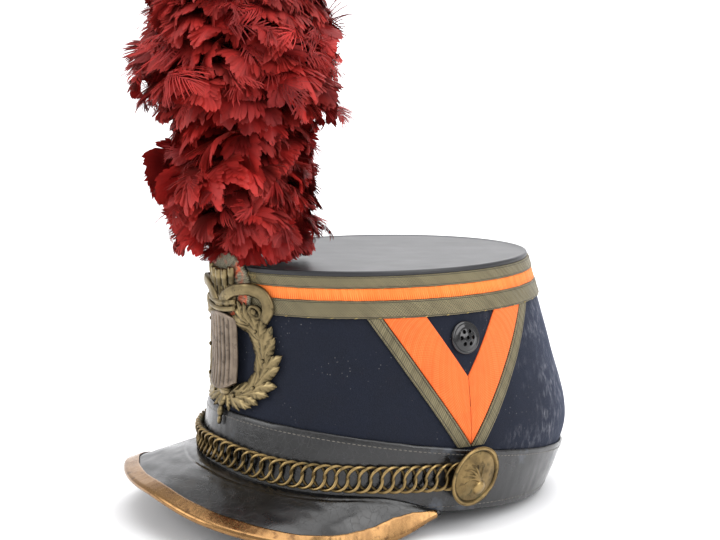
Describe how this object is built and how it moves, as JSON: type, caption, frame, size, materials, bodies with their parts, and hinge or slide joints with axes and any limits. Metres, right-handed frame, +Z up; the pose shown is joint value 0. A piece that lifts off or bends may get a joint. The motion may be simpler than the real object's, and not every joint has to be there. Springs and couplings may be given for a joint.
{
  "type": "shako hat",
  "caption": "Cloth-covered military shako with brass-bound leather visor, chin chain, side chevrons, front plate and a tall feather plume.",
  "frame": {"origin": "on the surface the hat stands on, under the middle of its length and width", "axes": "+Z up along the plume, -Y forwards over the visor, +X to the wearer's left"},
  "size_m": [0.193, 0.2578, 0.3205],
  "materials": {
    "navy_cloth": "brushed wool cloth, lint and dust",
    "black_leather": "semi-gloss, cracked, worn pale on its edges",
    "tarnished_lace": "woven metal lace, tarnished",
    "orange_tape": "matt wool tape",
    "polished_brass": "worn, half polished",
    "aged_brass": "aged, dark in its recesses",
    "black_japan": "gloss black japan, worn",
    "red_feather": "soft layered feathers"
  },
  "bodies": {
    "root": {"body_shell": "navy_cloth", "crown_top": "black_leather", "lower_band": "black_leather", "visor": "black_leather", "lace_upper": "tarnished_lace", "lace_lower": "tarnished_lace", "cockade": "tarnished_lace", "chevron_lace_left_front": "tarnished_lace", "chevron_lace_left_rear": "tarnished_lace", "chevron_lace_right_front": "tarnished_lace", "chevron_lace_right_rear": "tarnished_lace", "stripe": "orange_tape", "chevron_left_front": "orange_tape", "chevron_left_rear": "orange_tape", "chevron_right_front": "orange_tape", "chevron_right_rear": "orange_tape", "visor_rim": "polished_brass", "boss_left": "aged_brass", "boss_right": "aged_brass", "front_plate": "aged_brass", "chin_chain_1": "aged_brass", "chin_chain_2": "aged_brass", "chin_chain_3": "aged_brass", "chin_chain_4": "aged_brass", "chin_chain_5": "aged_brass", "chin_chain_6": "aged_brass", "ventilator_left": "black_japan", "ventilator_right": "black_japan", "plume_stem": "black_japan", "plume": "red_feather"}
  },
  "joints": []
}
